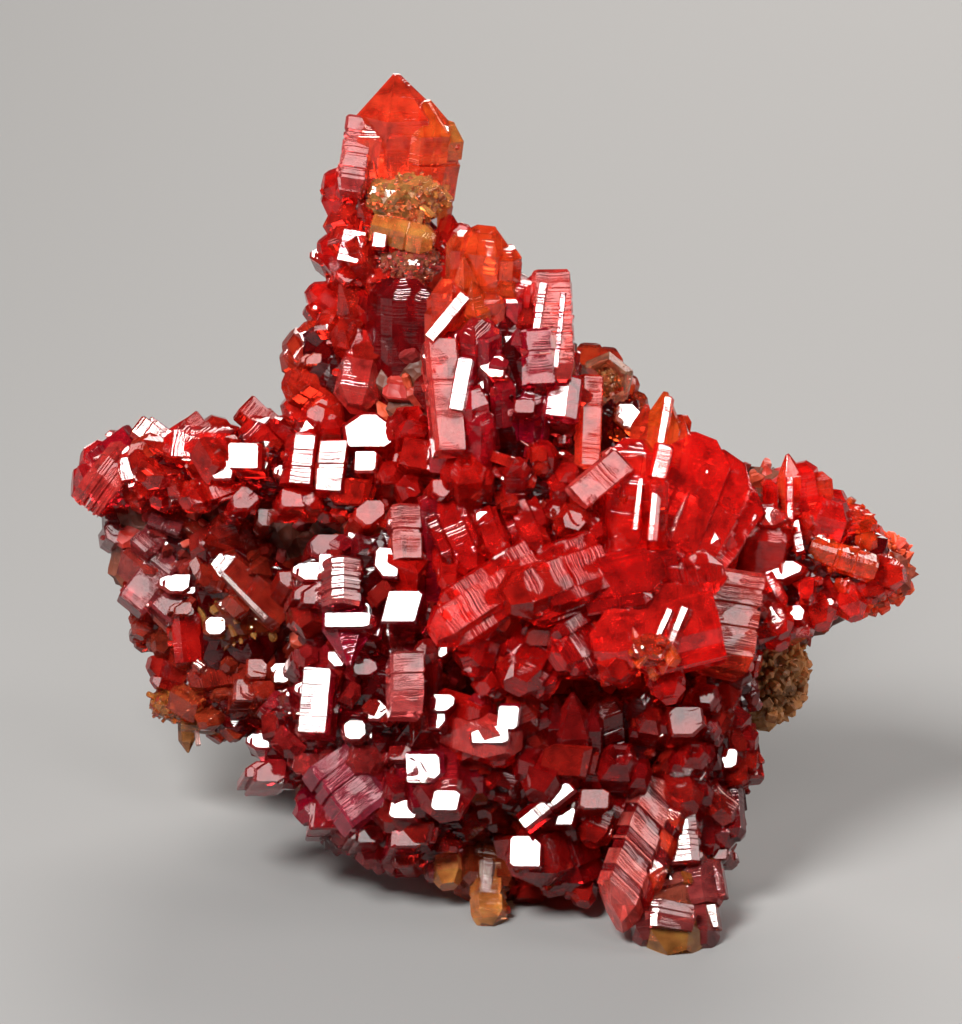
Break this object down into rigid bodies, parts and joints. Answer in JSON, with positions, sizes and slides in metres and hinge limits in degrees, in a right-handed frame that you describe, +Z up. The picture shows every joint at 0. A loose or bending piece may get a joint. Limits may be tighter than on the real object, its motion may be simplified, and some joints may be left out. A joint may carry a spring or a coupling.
{
  "type": "wulfenite on matrix",
  "caption": "Cluster of glassy deep red prismatic crystals with a tall back spire, side arms and a forward ledge, grown on brown druse rock cut flat underneath.",
  "frame": {"origin": "centre of the flat cut face under the rock", "axes": "+Z up, away from the cut face; -Y out of the display side; +X to the right of someone who looks at the display side"},
  "size_m": [0.0852, 0.0579, 0.0769],
  "materials": {
    "rock": "rough iron-stained druse",
    "red_crystal": "glassy, translucent deep red",
    "amber_crystal": "glassy, translucent amber red"
  },
  "bodies": {
    "root": {"matrix": "rock", "banded_crystal": "red_crystal", "spire": "red_crystal", "centre_tower": "red_crystal", "right_blades": "red_crystal", "middle_ledge": "red_crystal", "front_columns": "red_crystal", "central_prisms": "red_crystal", "white_row": "red_crystal", "right_arm": "red_crystal", "lower_right": "red_crystal", "left_shelf": "red_crystal", "left_cluster": "red_crystal", "foot_crystal": "amber_crystal", "hollow_crystal": "amber_crystal"}
  },
  "joints": []
}
